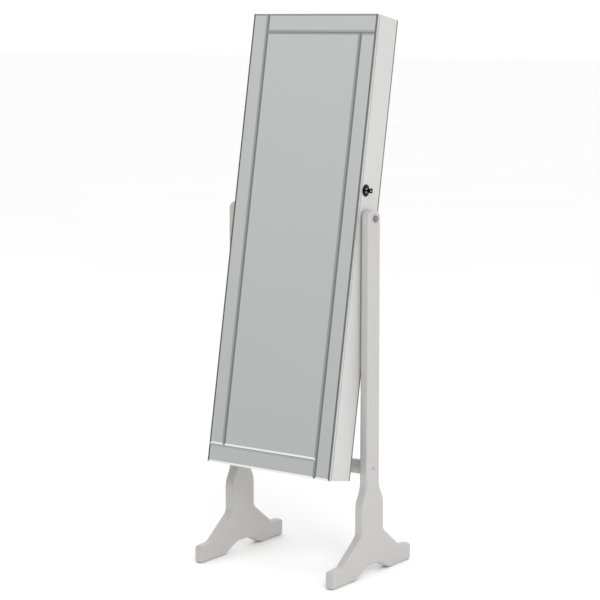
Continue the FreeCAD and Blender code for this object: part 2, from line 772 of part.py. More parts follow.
def bevelled_mirror(x0, x1, h0, h1):
    """Glass plate whose front face slopes back to all four edges."""
    def frame(d, inset):
        corners = ((x0 + inset, h0 + inset), (x1 - inset, h0 + inset),
                   (x1 - inset, h1 - inset), (x0 + inset, h1 - inset))
        points = [Vector(x, d, h) for x, h in corners]
        return Part.makePolygon(points + points[:1])
    sections = [frame(MIRROR_T, 0), frame(BEVEL_T, 0), frame(0, BEVEL_W)]
    return Part.makeLoft(sections, True, True)


def mirrors():
    """Centre glass and four strips that run past each other like a pinwheel."""
    half, gap = HALF_W, STRIP_GAP / 2
    left, right = -half + STRIP_W, half - STRIP_W
    low, high = STRIP_W, CABINET_HEIGHT - STRIP_W
    return {
        "mirror_centre": bevelled_mirror(left + gap, right - gap, low + gap, high - gap),
        "mirror_strip_left": bevelled_mirror(-half, left - gap, low + gap, CABINET_HEIGHT),
        "mirror_strip_bottom": bevelled_mirror(-half, right - gap, 0, low - gap),
        "mirror_strip_right": bevelled_mirror(right + gap, half, 0, high - gap),
        "mirror_strip_top": bevelled_mirror(left + gap, half, high + gap, CABINET_HEIGHT),
    }


def door_panel():
    shape = box(-HALF_W + CORE_INSET, HALF_W - CORE_INSET, MIRROR_T, DOOR_BACK,
                CORE_INSET, CABINET_HEIGHT - CORE_INSET)
    return cut(shape, hardware_screws())


def door_lining_span():
    return -INNER_X + DOOR_LINING_EDGE, BARREL_END - DOOR_LINING_EDGE


def door_lining():
    x0, x1 = door_lining_span()
    return box(x0, x1, DOOR_BACK, DOOR_LINED, CAP_T + DOOR_LINING_EDGE, CAP_UNDER - DOOR_LINING_EDGE)


def door_rail_top():
    return CAP_UNDER - DOOR_RAIL_DROP


def door_hooks():
    x0, x1 = door_lining_span()
    h = door_rail_top() - RAIL_H / 2 - HOOK_BELOW
    span = x1 - x0 - 2 * DOOR_HOOK_INSET
    shapes = hooks(DOOR_HOOK_COUNT, span, DOOR_LINED + DOOR_RAIL_T, h, DOOR_HOOK_REACH)
    for shape in shapes:
        shape.translate(Vector((x0 + x1) / 2, 0, 0))
    return shapes


def door_hook_rail():
    x0, x1 = door_lining_span()
    top = door_rail_top()
    shape = box(x0, x1, DOOR_LINED, DOOR_LINED + DOOR_RAIL_T, top - RAIL_H, top)
    return cut(shape, door_hooks())


def door_earring_rack():
    x0, x1 = door_lining_span()
    return rack(x0, x1, DOOR_LINED, DOOR_RACK_LOW, DOOR_RACK_HIGH, DOOR_RACK_BARS, STILE_T)


def build_door():
    for name, shape in mirrors().items():
        save(name, shape, True)
    save("door_panel", door_panel(), True)
    save("door_lining", door_lining(), True)
    save("door_hook_rail", door_hook_rail(), True)
    save("door_hooks", door_hooks(), True)
    save("door_earring_rack", door_earring_rack(), True)


build_stand()
build_cabinet()
build_hinges()
build_lock()
build_door()
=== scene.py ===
"""Finish and fittings of a leaning mirror-door jewelry armoire, built round its CAD frame."""
import json
import math

import bmesh
import bpy
from bpy.props import FloatProperty, FloatVectorProperty, IntProperty, PointerProperty
from mathutils import Matrix, Vector


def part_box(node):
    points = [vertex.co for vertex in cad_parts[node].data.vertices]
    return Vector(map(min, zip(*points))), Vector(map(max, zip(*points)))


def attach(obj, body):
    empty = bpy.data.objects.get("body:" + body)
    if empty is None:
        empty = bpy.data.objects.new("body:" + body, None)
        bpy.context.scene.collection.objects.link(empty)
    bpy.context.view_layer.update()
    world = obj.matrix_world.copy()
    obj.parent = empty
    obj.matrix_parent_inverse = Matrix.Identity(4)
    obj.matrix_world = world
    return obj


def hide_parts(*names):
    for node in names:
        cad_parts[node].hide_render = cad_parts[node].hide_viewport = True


bl_info = {
    "name": "Jewelry armoire",
    "version": (1, 0, 0),
    "blender": (4, 5, 0),
    "location": "View3D > Sidebar > Armoire",
    "description": "Finishes and soft fittings for a leaning mirror-door jewelry armoire",
    "category": "Object",
}

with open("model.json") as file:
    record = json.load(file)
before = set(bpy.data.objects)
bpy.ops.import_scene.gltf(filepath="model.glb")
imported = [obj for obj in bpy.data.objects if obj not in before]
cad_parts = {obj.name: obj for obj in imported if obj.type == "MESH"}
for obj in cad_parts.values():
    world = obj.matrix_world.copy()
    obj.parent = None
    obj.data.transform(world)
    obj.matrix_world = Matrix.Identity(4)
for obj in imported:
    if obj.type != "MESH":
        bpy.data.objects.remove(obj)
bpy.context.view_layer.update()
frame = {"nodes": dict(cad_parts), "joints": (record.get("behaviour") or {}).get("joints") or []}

JOINTS = {joint["name"]: joint for joint in frame["joints"]}
PIVOT = Vector(JOINTS["cabinet_tilt"]["pos_m"])
UP_CABINET = -Vector(JOINTS["door_swing"]["axis"])
LEAN = math.atan2(UP_CABINET.y, UP_CABINET.z)
LEANED = Matrix.Translation(PIVOT) @ Matrix.Rotation(-LEAN, 4, "X") @ Matrix.Translation(-PIVOT)
UPRIGHT = LEANED.inverted()

STAND = ("right_foot", "left_foot", "right_post", "left_post", "cross_rail")
CARCASS = ("cabinet_right_side", "cabinet_left_side", "cabinet_top", "cabinet_bottom")
GLASS = ("mirror_centre", "mirror_strip_left", "mirror_strip_right", "mirror_strip_top",
         "mirror_strip_bottom")
INNER_BOARDS = ("lower_bin_shelf", "upper_bin_shelf", "ring_shelf", "earring_shelf",
                "necklace_shelf", "shelf_lips", "bin_dividers", "necklace_hook_rail",
                "earring_rack", "door_hook_rail", "door_earring_rack", "bracelet_rod_sockets")
BRIGHT_METAL = ("lock_plug", "lock_nut", "hinge_pins", "hinge_cabinet_leaves",
                "hinge_door_leaves")
ZINC = ("cross_rail_barrel_nuts", "pivot_inserts", "lock_cam", "lock_cam_screw", "lock_strike",
        "catch_plates", "door_hardware_screws", "right_clamp_stud", "left_clamp_stud")


def upright_box(node):
    """Lowest and highest corner of a node with the cabinet stood upright about its pivot."""
    corners = [UPRIGHT @ v.co for v in frame["nodes"][node].data.vertices]
    return (Vector(tuple(min(c[i] for c in corners) for i in range(3))),
            Vector(tuple(max(c[i] for c in corners) for i in range(3))))


SIDE_LOW, SIDE_HIGH = upright_box("cabinet_right_side")
GLASS_LOW, GLASS_HIGH = upright_box("mirror_strip_right")
CAP_LOW = upright_box("cabinet_bottom")[1].z
CAP_HIGH = upright_box("cabinet_top")[0].z

PAINT_SKIN = 0.0006         # how far a painted face is told from a lined one
BEVEL_DEPTH = 0.0009
BEVEL_WIDTH = 0.0055
BEVEL_START = 0.00003       # how deep a face has to lie to count as bevelled or cut
HOOK_SHANK = 0.004          # how far a hook's wire goes into its rail
PLUG_FIT = 0.00005
BARREL_R = 0.009
KEY_NECK = 0.005            # from the lock's face to the bow
KEY_BLADE = 0.0064          # height of the blade
KEY_HOLE_IN = 0.009         # from the neck to the hole's middle
KEY_HOLE_R = 0.002
KEY_CUTS = 9
KEY_BITES = {2: 0.0012, 3: 0.0018, 4: 0.0008, 5: 0.0016, 6: 0.0010}    # depth at each cut
KNOB_LOBES = 8
ROLL_RIPPLES = ((310.0, 0.00012), (83.0, 0.0001))    # radians per metre, and height

FLOOR_SIZE = 120.0
KEY_LIGHT_SPOT, KEY_LIGHT_AIM, KEY_LIGHT_SIZE = (3.2, -3.2, 3.3), (0.0, 0.0, 0.7), 2.6
FILL_LIGHT_SPOT, FILL_LIGHT_AIM, FILL_LIGHT_SIZE = (-3.2, -3.4, 2.6), (0.0, 0.0, 0.8), 3.0
CEILING_PLACE, CEILING_ANGLE = (0.0, 0.0, 4.0), 1.2
CAMERA_PLACE, CAMERA_PITCH, CAMERA_YAW = (3.0626, -4.2689, 1.5002), 0.1445, 0.6239
# The walls that the mirrors face: axis of the direction, where the shade starts and ends,
# and the brightness at each.
WALL_SHADES = ((2, 0.0, 0.28, 0.82, 0.98), (2, 0.30, 0.42, 1.0, 0.74),
               (0, -0.76, -0.69, 0.52, 1.0), (0, -0.46, -0.38, 1.0, 0.80))


# ---------------------------------------------------------------- properties


def colour(name, description, default):
    return FloatVectorProperty(name=name, description=description, default=default,
                               subtype="COLOR", min=0.0, max=1.0, size=3)


def amount(name, description, default, low=0.0, high=1.0):
    return FloatProperty(name=name, description=description, default=default, min=low, max=high)


def length(name, description, default):
    return FloatProperty(name=name, description=description, default=default, min=0.0,
                         unit="LENGTH", precision=4)


class ArmoireFinish(bpy.types.PropertyGroup):
    paint: colour("Cabinet paint", "Silver-grey satin paint of the cabinet", (0.54, 0.54, 0.535))
    stand_paint: colour("Stand paint", "Slightly warmer grey of the posts and feet",
                        (0.465, 0.46, 0.447))
    paint_roughness: amount("Paint roughness", "How satin the paint is", 0.42)
    back_paint: colour("Back board", "Dark grey paint of the back board", (0.15, 0.15, 0.152))
    velvet: colour("Velvet", "Pile of the linings, rolls and bracelet bar",
                   (0.012, 0.012, 0.014))
    lacquer: colour("Inner lacquer", "Black lacquer of the shelves and racks",
                    (0.018, 0.018, 0.020))
    silvering: colour("Silvering", "Tint of the mirrors", (0.90, 0.91, 0.91))
    # The bevel tints are darker than the silvering: painted shade for the darker room the bevels
    # reflect, darkest along the cabinet's sides.
    bevel: colour("Bevel", "Tint of the mirrors' bevels", (0.72, 0.73, 0.73))
    outer_bevel_shade: colour("Outer bevel", "Darker tint of the bevels along the cabinet's sides",
                        (0.38, 0.385, 0.385))
    glass_edge: colour("Glass edge", "Cut edge of the mirror glass", (0.33, 0.36, 0.35))
    nickel: colour("Nickel", "Plated hooks, hinges and lock face", (0.66, 0.65, 0.63))
    zinc: colour("Zinc", "Plated studs, screws and catches", (0.55, 0.56, 0.58))
    bronze: colour("Dark bronze", "Keyhole plate and key", (0.020, 0.017, 0.015))
    knob: colour("Clamp knobs", "Grey moulded knobs at the pivots", (0.17, 0.17, 0.17))


class ArmoireSizes(bpy.types.PropertyGroup):
    roll_crown: length("Roll crown", "How far a ring roll bulges between its ends", 0.0006)
    gather: length("Gather", "Length of the gathered cloth at a roll's end", 0.006)
    hook_bend: length("Hook bend", "Radius of a wire hook's elbow", 0.004)
    plate_rim: length("Plate rim", "Width of the raised rim of the keyhole plate", 0.0028)
    round_steps: IntProperty(name="Round steps", description="Facets round turned pieces",
                             default=64, min=16, max=128)


class ArmoireStage(bpy.types.PropertyGroup):
    floor_tone: colour("Floor", "Pale studio floor", (0.97, 0.97, 0.97))
    key_power: FloatProperty(name="Key light", description="Power of the large light on the right",
                             default=128.0, min=0.0, unit="POWER")
    fill_power: FloatProperty(name="Fill light", description="Power of the light on the left",
                              default=10.0, min=0.0, unit="POWER")
    ceiling_power: amount("Ceiling light", "Strength of the even light from straight above", 0.4,
                          high=4.0)
    back_sky: amount("Back of the studio", "Brightness of the surround behind the armoire", 1.05,
                     high=4.0)
    front_sky: amount("Front of the studio", "Brightness of the surround that the mirror faces",
                      0.60, high=4.0)
    lens: FloatProperty(name="Lens", description="Camera's focal length in millimetres",
                        default=116.32, min=20.0)


def settings():
    scene = bpy.context.scene
    return scene.armoire_finish, scene.armoire_sizes, scene.armoire_stage


# ---------------------------------------------------------------- shader groups


def new_group(name, inputs, outputs):
    """Empty shader node group with its sockets, and its two end nodes."""
    tree = bpy.data.node_groups.new(name, "ShaderNodeTree")
    for label, kind, default in inputs:
        socket = tree.interface.new_socket(label, in_out="INPUT", socket_type=kind)
        if default is not None:
            socket.default_value = default
    for label, kind in outputs:
        tree.interface.new_socket(label, in_out="OUTPUT", socket_type=kind)
    return tree, tree.nodes.new("NodeGroupInput"), tree.nodes.new("NodeGroupOutput")


def node(tree, kind, values=None, **traits):
    """Node with its traits and its unlinked input values set."""
    made = tree.nodes.new(kind)
    for trait, value in traits.items():
        setattr(made, trait, value)
    for socket, value in (values or {}).items():
        made.inputs[socket].default_value = value
    return made


def link(tree, source, target):
    tree.links.new(source, target)


def maths(tree, operation, first, second, clamp=False):
    """Output of a Math node; each operand is a number or a socket."""
    made = node(tree, "ShaderNodeMath", operation=operation, use_clamp=clamp)
    for socket, value in zip(made.inputs, (first, second)):
        if isinstance(value, (int, float)):
            socket.default_value = value
        else:
            link(tree, value, socket)
    return made.outputs[0]


def blend_colours(tree, factor, first, second, mode="MIX"):
    """Output of a colour mix; factor and colours are values or sockets."""
    made = node(tree, "ShaderNodeMix", data_type="RGBA", blend_type=mode)
    for socket, value in ((made.inputs[0], factor), (made.inputs[6], first),
                          (made.inputs[7], second)):
        if isinstance(value, bpy.types.NodeSocket):
            link(tree, value, socket)
        elif isinstance(value, float):
            socket.default_value = value
        else:
            socket.default_value = (*value, 1.0)
    return made.outputs[2]


def noise(tree, vector, scale, detail=3.0, roughness=0.5):
    """Noise value; its scale is a number or a socket."""
    made = node(tree, "ShaderNodeTexNoise", {"Detail": detail, "Roughness": roughness})
    if isinstance(scale, (int, float)):
        made.inputs["Scale"].default_value = scale
    else:
        link(tree, scale, made.inputs["Scale"])
    link(tree, vector, made.inputs["Vector"])
    return made.outputs["Fac"]


def spread(tree, value, low, high, out_low=0.0, out_high=1.0):
    """Value mapped from low…high to out_low…out_high, held at both ends."""
    made = node(tree, "ShaderNodeMapRange", {"From Min": low, "From Max": high,
                                             "To Min": out_low, "To Max": out_high})
    link(tree, value, made.inputs["Value"])
    return made.outputs["Result"]


def mottle_group():
    """Slow lighter and darker clouds in a colour, with a mask of them."""
    tree, given, result = new_group(
        "Mottle",
        [("Vector", "NodeSocketVector", None), ("Color", "NodeSocketColor", (1, 1, 1, 1)),
         ("Scale", "NodeSocketFloat", 4.0), ("Depth", "NodeSocketFloat", 0.05)],
        [("Color", "NodeSocketColor"), ("Mask", "NodeSocketFloat")])
    clouds = noise(tree, given.outputs["Vector"], given.outputs["Scale"], 4.0, 0.55)
    mask = spread(tree, clouds, 0.3, 0.7)
    swing = maths(tree, "MULTIPLY", maths(tree, "SUBTRACT", mask, 0.5), given.outputs["Depth"])
    level = maths(tree, "ADD", swing, 1.0)
    tint = node(tree, "ShaderNodeCombineColor")
    for channel in tint.inputs[:3]:
        link(tree, level, channel)
    mixed = blend_colours(tree, 1.0, given.outputs["Color"], tint.outputs[0], "MULTIPLY")
    link(tree, mixed, result.inputs["Color"])
    link(tree, mask, result.inputs["Mask"])
    return tree


def rubbed_and_highlit_edge_group():
    """Mask that is high along sharp edges, where a finish is rubbed thin and where a painted
    highlight stands in for the light the edges catch.
    """
    tree, given, result = new_group(
        "Rubbed and highlit edge", [("Vector", "NodeSocketVector", None), ("Width", "NodeSocketFloat", 0.002)],
        [("Mask", "NodeSocketFloat")])
    bevelled = node(tree, "ShaderNodeBevel", samples=4)
    link(tree, given.outputs["Width"], bevelled.inputs["Radius"])
    plain = node(tree, "ShaderNodeNewGeometry")
    dot = node(tree, "ShaderNodeVectorMath", operation="DOT_PRODUCT")
    link(tree, bevelled.outputs["Normal"], dot.inputs[0])
    link(tree, plain.outputs["Normal"], dot.inputs[1])
    edge = spread(tree, dot.outputs["Value"], 0.99, 0.80)
    broken = spread(tree, noise(tree, given.outputs["Vector"], 160.0, 2.0), 0.35, 0.65)
    link(tree, maths(tree, "MULTIPLY", edge, broken, clamp=True), result.inputs["Mask"])
    return tree


def spray_group():
    """Height of a sprayed coat: orange peel, fine grit and a faint grain along the board."""
    tree, given, result = new_group(
        "Sprayed coat",
        [("Vector", "NodeSocketVector", None), ("Peel", "NodeSocketFloat", 420.0),
         ("Grain", "NodeSocketFloat", 0.3)],
        [("Height", "NodeSocketFloat")])
    peel = noise(tree, given.outputs["Vector"], given.outputs["Peel"], 2.0, 0.45)
    drawn = node(tree, "ShaderNodeMapping", {"Scale": (260.0, 260.0, 9.0)})
    link(tree, given.outputs["Vector"], drawn.inputs["Vector"])
    grain = noise(tree, drawn.outputs["Vector"], 1.0, 3.0, 0.6)
    grained = maths(tree, "MULTIPLY", grain, given.outputs["Grain"])
    link(tree, maths(tree, "ADD", peel, grained), result.inputs["Height"])
    return tree


def pile_group():
    """Velvet pile: crushed patches, tufts and the height of the nap."""
    tree, given, result = new_group(
        "Velvet pile",
        [("Vector", "NodeSocketVector", None), ("Color", "NodeSocketColor", (0, 0, 0, 1)),
         ("Tufts", "NodeSocketFloat", 1900.0)],
        [("Color", "NodeSocketColor"), ("Height", "NodeSocketFloat")])
    tufts = noise(tree, given.outputs["Vector"], given.outputs["Tufts"], 2.0, 0.7)
    crushed = spread(tree, noise(tree, given.outputs["Vector"], 22.0, 4.0, 0.6), 0.42, 0.66)
    lifted = blend_colours(tree, 1.0, given.outputs["Color"], (2.6, 2.6, 2.7), "MULTIPLY")
    shade = maths(tree, "MULTIPLY", crushed, tufts)
    link(tree, blend_colours(tree, shade, given.outputs["Color"], lifted),
         result.inputs["Color"])
    link(tree, maths(tree, "ADD", tufts, maths(tree, "MULTIPLY", crushed, 0.4)),
         result.inputs["Height"])
    return tree


def brushing_group():
    """Fine drawn lines of machined metal, as a height and a roughness."""
    tree, given, result = new_group(
        "Brushing",
        [("Vector", "NodeSocketVector", None), ("Lines", "NodeSocketFloat", 2600.0),
         ("Roughness", "NodeSocketFloat", 0.3)],
        [("Height", "NodeSocketFloat"), ("Roughness", "NodeSocketFloat")])
    squeezed = node(tree, "ShaderNodeMapping", {"Scale": (0.02, 1.0, 1.0)})
    link(tree, given.outputs["Vector"], squeezed.inputs["Vector"])
    lines = noise(tree, squeezed.outputs["Vector"], given.outputs["Lines"], 2.0, 0.6)
    varied = maths(tree, "MULTIPLY", maths(tree, "SUBTRACT", lines, 0.5), 0.25)
    link(tree, lines, result.inputs["Height"])
    link(tree, maths(tree, "ADD", given.outputs["Roughness"], varied, clamp=True),
         result.inputs["Roughness"])
    return tree


GROUP_MAKERS = {"Mottle": mottle_group, "Rubbed and highlit edge": rubbed_and_highlit_edge_group,
                "Sprayed coat": spray_group, "Velvet pile": pile_group,
                "Brushing": brushing_group}


def group(tree, name, links=None, **values):
    """Places a shared node group in a material."""
    shared = bpy.data.node_groups.get(name) or GROUP_MAKERS[name]()
    placed = node(tree, "ShaderNodeGroup", node_tree=shared)
    for label, value in values.items():
        placed.inputs[label].default_value = value
    for label, source in (links or {}).items():
        link(tree, source, placed.inputs[label])
    return placed


# ---------------------------------------------------------------- materials


def start_material(name, values):
    """New material: its tree, its Principled shader and a coordinate that stays on the piece."""
    material = bpy.data.materials.new(name)
    material.use_nodes = True
    tree = material.node_tree
    tree.nodes.clear()
    shader = node(tree, "ShaderNodeBsdfPrincipled", values)
    output = node(tree, "ShaderNodeOutputMaterial")
    link(tree, shader.outputs[0], output.inputs["Surface"])
    coordinates = node(tree, "ShaderNodeTexCoord")
    return material, tree, shader, coordinates.outputs["Object"]


def relief(tree, shader, height, strength, distance):
    """Bump from a height, on the shader's normal."""
    bump = node(tree, "ShaderNodeBump", {"Strength": strength, "Distance": distance})
    link(tree, height, bump.inputs["Height"])
    link(tree, bump.outputs["Normal"], shader.inputs["Normal"])


def solid(rgb):
    return (*rgb, 1.0)


def stand_up(tree, vector):
    """Turns object coordinates so that Z runs up the leaning cabinet and Y into its depth."""
    turned = node(tree, "ShaderNodeMapping", {"Rotation": (LEAN, 0.0, 0.0),
                                              "Location": UPRIGHT.translation})
    link(tree, vector, turned.inputs["Vector"])
    return turned.outputs["Vector"]


def paint_material(name, rgb, roughness, leaning):
    """Satin silver paint over a sanded board."""
    material, tree, shader, vector = start_material(
        name, {"Coat Weight": 0.18, "Coat Roughness": 0.28, "Metallic": 0.12, "IOR": 1.5})
    if leaning:
        vector = stand_up(tree, vector)
    clouds = group(tree, "Mottle", {"Vector": vector}, Color=solid(rgb), Scale=3.0, Depth=0.045)
    # Edges are painted lighter than the paint: partly rubbed paint, partly a painted highlight.
    edges = group(tree, "Rubbed and highlit edge", {"Vector": vector}, Width=0.0016)
    rubbed_and_lit_tint = tuple(min(1.0, c * 1.18) for c in rgb)
    rubbed_and_lit_paint = blend_colours(tree, maths(tree, "MULTIPLY", edges.outputs["Mask"], 0.45),
                         clouds.outputs["Color"], rubbed_and_lit_tint)
    link(tree, rubbed_and_lit_paint, shader.inputs["Base Color"])
    level = spread(tree, clouds.outputs["Mask"], 0.0, 1.0, roughness - 0.05, roughness + 0.06)
    link(tree, level, shader.inputs["Roughness"])
    coat = group(tree, "Sprayed coat", {"Vector": vector}, Peel=420.0, Grain=0.35)
    relief(tree, shader, coat.outputs["Height"], 0.10, 0.0006)
    return material, tree, shader, rubbed_and_lit_paint, vector


def carcass_material(finish):
    """Cabinet boards: silver outside, black velvet-flocked inside."""
    material, tree, shader, rubbed_and_lit_paint, vector = paint_material(
        "silver_carcass", finish.paint, finish.paint_roughness, True)
    split = node(tree, "ShaderNodeSeparateXYZ")
    link(tree, vector, split.inputs[0])
    within = []
    for axis, low, high in ((0, -SIDE_LOW.x, SIDE_LOW.x), (2, CAP_LOW, CAP_HIGH)):
        middle, reach = (low + high) / 2, (high - low) / 2 + PAINT_SKIN
        away = maths(tree, "ABSOLUTE", maths(tree, "SUBTRACT", split.outputs[axis], middle), 0)
        within.append(maths(tree, "LESS_THAN", away, reach))
    inside = maths(tree, "MULTIPLY", *within)
    behind_seam = maths(tree, "GREATER_THAN", split.outputs[1], SIDE_LOW.y + PAINT_SKIN)
    inside = maths(tree, "MULTIPLY", inside, behind_seam)
    pile = group(tree, "Velvet pile", {"Vector": vector}, Color=solid(finish.velvet))
    link(tree, blend_colours(tree, inside, rubbed_and_lit_paint, pile.outputs["Color"]),
         shader.inputs["Base Color"])
    return material


def mirror_material(finish):
    """Silvered glass with faint wiping marks, bevels tinted darker as painted shade in their
    reflections, and a ground edge.
    """
    material, tree, shader, vector = start_material(
        "silvered_glass", {"Coat Weight": 0.0, "IOR": 1.5})
    local = stand_up(tree, vector)
    split = node(tree, "ShaderNodeSeparateXYZ")
    link(tree, local, split.inputs[0])
    depth = maths(tree, "SUBTRACT", split.outputs[1], GLASS_LOW.y)
    bevel = maths(tree, "GREATER_THAN", depth, BEVEL_START)
    cut = maths(tree, "GREATER_THAN", depth, BEVEL_DEPTH + BEVEL_START)
    clouds = group(tree, "Mottle", {"Vector": local}, Color=solid(finish.silvering), Scale=2.2,
                   Depth=0.02)
    # Bevels take a darker tint than the face, and the outer bevels near the cabinet's sides a much
    # darker one: painted shade in their reflections.
    across = maths(tree, "ABSOLUTE", split.outputs[0], 0.0)
    outer = maths(tree, "GREATER_THAN", across, GLASS_HIGH.x - BEVEL_WIDTH)
    tint = blend_colours(tree, outer, finish.bevel, finish.outer_bevel_shade)
    face = blend_colours(tree, bevel, clouds.outputs["Color"], tint)
    link(tree, blend_colours(tree, cut, face, finish.glass_edge), shader.inputs["Base Color"])
    link(tree, maths(tree, "SUBTRACT", 1.0, cut), shader.inputs["Metallic"])
    wiped = node(tree, "ShaderNodeMapping", {"Rotation": (0.0, 0.5, 0.0),
                                             "Scale": (5.0, 5.0, 1.6)})
    link(tree, local, wiped.inputs["Vector"])
    marks = spread(tree, noise(tree, wiped.outputs["Vector"], 2.4, 5.0, 0.6), 0.52, 0.78)
    smooth = maths(tree, "ADD", maths(tree, "MULTIPLY", marks, 0.02), 0.006)
    link(tree, maths(tree, "ADD", smooth, maths(tree, "MULTIPLY", cut, 0.25)),
         shader.inputs["Roughness"])
    return material


def velvet_material(finish):
    """Black velvet with a soft sheen and crushed patches."""
    material, tree, shader, vector = start_material(
        "black_velvet", {"Roughness": 0.95, "Sheen Weight": 0.75, "Sheen Roughness": 0.35,
                         "Sheen Tint": (0.75, 0.77, 0.82, 1.0), "Specular IOR Level": 0.1})
    pile = group(tree, "Velvet pile", {"Vector": vector}, Color=solid(finish.velvet))
    link(tree, pile.outputs["Color"], shader.inputs["Base Color"])
    relief(tree, shader, pile.outputs["Height"], 0.35, 0.0008)
    return material


def lacquer_material(finish):
    """Black lacquer on the shelves and racks, with edges painted grey, partly as rubbing and
    partly as a painted highlight.
    """
    material, tree, shader, vector = start_material(
        "black_lacquer", {"Coat Weight": 0.25, "Coat Roughness": 0.22})
    clouds = group(tree, "Mottle", {"Vector": vector}, Color=solid(finish.lacquer), Scale=9.0,
                   Depth=0.3)
    edges = group(tree, "Rubbed and highlit edge", {"Vector": vector}, Width=0.001)
    # Lighter grey along the edges: rubbed lacquer and a painted highlight.
    link(tree, blend_colours(tree, maths(tree, "MULTIPLY", edges.outputs["Mask"], 0.5),
                             clouds.outputs["Color"], (0.07, 0.07, 0.07)),
         shader.inputs["Base Color"])
    link(tree, spread(tree, clouds.outputs["Mask"], 0.0, 1.0, 0.3, 0.42),
         shader.inputs["Roughness"])
    coat = group(tree, "Sprayed coat", {"Vector": vector}, Peel=480.0, Grain=0.5)
    relief(tree, shader, coat.outputs["Height"], 0.10, 0.0006)
    return material


def metal_material(name, rgb, roughness, lines=2600.0):
    """Plated metal with a drawn or turned finish and edges painted brighter, partly as rubbed
    plating and partly as a painted glint.
    """
    material, tree, shader, vector = start_material(name, {"Metallic": 1.0})
    clouds = group(tree, "Mottle", {"Vector": vector}, Color=solid(rgb), Scale=90.0, Depth=0.14)
    edges = group(tree, "Rubbed and highlit edge", {"Vector": vector}, Width=0.0006)
    rubbed_and_lit_tint = tuple(min(1.0, c * 1.6 + 0.03) for c in rgb)
    # Brighter along the edges: rubbed plating and a painted glint.
    link(tree, blend_colours(tree, maths(tree, "MULTIPLY", edges.outputs["Mask"], 0.6),
                             clouds.outputs["Color"], rubbed_and_lit_tint), shader.inputs["Base Color"])
    drawn = group(tree, "Brushing", {"Vector": vector}, Lines=lines, Roughness=roughness)
    link(tree, drawn.outputs["Roughness"], shader.inputs["Roughness"])
    relief(tree, shader, drawn.outputs["Height"], 0.12, 0.0002)
    return material


def moulded_material(name, rgb, roughness, grit=900.0):
    """Moulded plastic or rubber with a fine spark-eroded texture."""
    material, tree, shader, vector = start_material(name, {"Coat Weight": 0.05})
    clouds = group(tree, "Mottle", {"Vector": vector}, Color=solid(rgb), Scale=60.0, Depth=0.12)
    link(tree, clouds.outputs["Color"], shader.inputs["Base Color"])
    link(tree, spread(tree, clouds.outputs["Mask"], 0.0, 1.0, roughness - 0.05, roughness + 0.05),
         shader.inputs["Roughness"])
    coat = group(tree, "Sprayed coat", {"Vector": vector}, Peel=grit, Grain=0.0)
    relief(tree, shader, coat.outputs["Height"], 0.2, 0.0003)
    return material


def dowel_material():
    """Plain beech."""
    material, tree, shader, vector = start_material("beech", {"Roughness": 0.6})
    drawn = node(tree, "ShaderNodeMapping", {"Scale": (6.0, 300.0, 300.0)})
    link(tree, vector, drawn.inputs["Vector"])
    grain = noise(tree, drawn.outputs["Vector"], 1.0, 4.0, 0.6)
    link(tree, blend_colours(tree, grain, (0.52, 0.34, 0.19), (0.62, 0.45, 0.28)),
         shader.inputs["Base Color"])
    relief(tree, shader, grain, 0.2, 0.0003)
    return material


def wear(names, material):
    """Gives CAD nodes a finished material."""
    for name in names:
        slots = frame["nodes"][name].data.materials
        slots.clear()
        slots.append(material)


# ---------------------------------------------------------------- mesh helpers


def finish_mesh(bm, name, material, body, leaning=True, smooth_angle=35.0):
    """Turns a bmesh built upright into a piece that rides a body."""
    bmesh.ops.remove_doubles(bm, verts=bm.verts, dist=1e-6)
    bmesh.ops.recalc_face_normals(bm, faces=bm.faces)
    if leaning:
        bmesh.ops.transform(bm, matrix=LEANED, verts=bm.verts)
    mesh = bpy.data.meshes.new(name)
    bm.to_mesh(mesh)
    bm.free()
    mesh.materials.append(material)
    for polygon in mesh.polygons:
        polygon.use_smooth = True
    piece = bpy.data.objects.new(name, mesh)
    bpy.context.scene.collection.objects.link(piece)
    mesh.set_sharp_from_angle(angle=math.radians(smooth_angle))
    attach(piece, body)
    return piece


def turned(profile, steps, place):
    """Separate bmesh of a turned shape, its ends closed on the axis where the radius is 0."""
    bm = bmesh.new()
    points = [bm.verts.new((x, max(radius, 0.0), 0.0)) for x, radius in profile]
    edges = [bm.edges.new(pair) for pair in zip(points, points[1:])]
    bmesh.ops.spin(bm, geom=points + edges, cent=(0, 0, 0), axis=(1, 0, 0), dvec=(0, 0, 0),
                   angle=math.tau, steps=steps, use_merge=True)
    bmesh.ops.remove_doubles(bm, verts=bm.verts, dist=1e-7)
    bmesh.ops.transform(bm, matrix=place, verts=bm.verts)
    return bm


def add_to(bm, other):
    """Copies one bmesh into another."""
    carrier = bpy.data.meshes.new("carrier")
    other.to_mesh(carrier)
    other.free()
    bm.from_mesh(carrier)
    bpy.data.meshes.remove(carrier)


# ---------------------------------------------------------------- pieces


def island_boxes(node_name, upright=True):
    """Boxes of the separate solids in one node, from its loose triangles."""
    bm = bmesh.new()
    bm.from_mesh(frame["nodes"][node_name].data)
    bmesh.ops.remove_doubles(bm, verts=bm.verts, dist=1e-6)
    seen, boxes = set(), []
    for seed in bm.verts:
        if seed in seen:
            continue
        seen.add(seed)
        grown, edge = [seed], [seed]
        while edge:
            near = {e.other_vert(v) for v in edge for e in v.link_edges} - seen
            seen |= near
            edge = list(near)
            grown += edge
        points = [(UPRIGHT @ v.co) if upright else v.co.copy() for v in grown]
        boxes.append((Vector([min(p[i] for p in points) for i in range(3)]),
                      Vector([max(p[i] for p in points) for i in range(3)])))
    bm.free()
    return boxes


